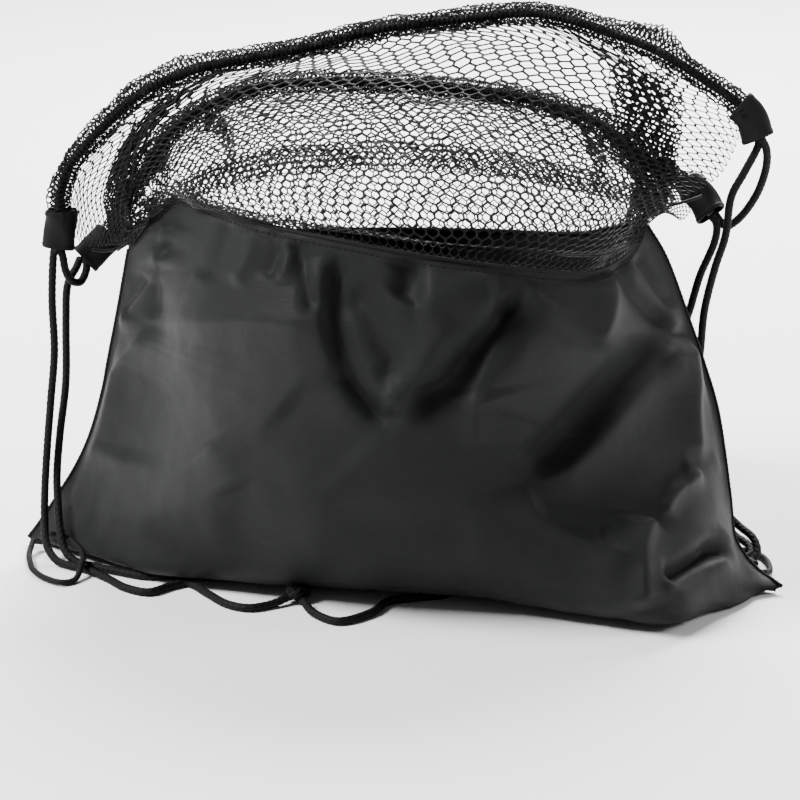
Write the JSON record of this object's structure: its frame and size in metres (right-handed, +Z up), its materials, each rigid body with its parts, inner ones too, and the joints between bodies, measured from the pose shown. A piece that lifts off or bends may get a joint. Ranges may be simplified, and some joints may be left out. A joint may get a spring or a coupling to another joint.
{
  "type": "mesh ball bag",
  "caption": "Drawstring sack for a ball: coated fabric below, open net above, with cords through two hem channels that serve as shoulder straps.",
  "frame": {"origin": "on the underside of the flat base, straight under the middle of the ball that the sack holds", "axes": "+X to the bag's right seen from its front, along the bottom seam; +Y from the front to the back; +Z up"},
  "size_m": [0.3787, 0.2491, 0.2813],
  "materials": {
    "coated_fabric": "smooth coated weave with a soft sheen",
    "net": "knitted polyester net, matte to satin",
    "webbing": "woven tape, matte",
    "cord": "braided cord, matte"
  },
  "bodies": {
    "root": {"front_lower_panel": "coated_fabric", "back_lower_panel": "coated_fabric", "front_net_panel": "net", "back_net_panel": "net", "front_net_binding": "webbing", "back_net_binding": "webbing", "left_side_seam": "webbing", "right_side_seam": "webbing", "left_net_seam": "webbing", "right_net_seam": "webbing", "bottom_seam": "webbing", "left_corner_loop": "webbing", "right_corner_loop": "webbing", "left_front_cord": "cord", "left_back_cord": "cord", "right_front_cord": "cord", "right_back_cord": "cord", "left_bridge_cord": "cord", "right_bridge_cord": "cord", "left_cord_knot": "cord", "right_cord_knot": "cord"},
    "front_rim": {"front_hem_channel": "net", "front_hem_left_tab": "webbing", "front_hem_right_tab": "webbing", "front_channel_left_cord": "cord", "front_channel_right_cord": "cord"},
    "back_rim": {"back_hem_channel": "net", "back_hem_left_tab": "webbing", "back_hem_right_tab": "webbing", "back_channel_left_cord": "cord", "back_channel_right_cord": "cord"}
  },
  "joints": [
    {"name": "front_rim_swing", "type": "hinge", "parent": "root", "child": "front_rim", "pos_m": [-0.1705, 0.015, 0.157], "axis": [0.9795, -0.0968, 0.1765], "range_deg": [-12, 45], "deforming": ["front_net_panel"]},
    {"name": "back_rim_swing", "type": "hinge", "parent": "root", "child": "back_rim", "pos_m": [0.155, 0.018, 0.173], "axis": [-0.9959, 0.0381, -0.0825], "range_deg": [-12, 30], "deforming": ["back_net_panel"]}
  ]
}
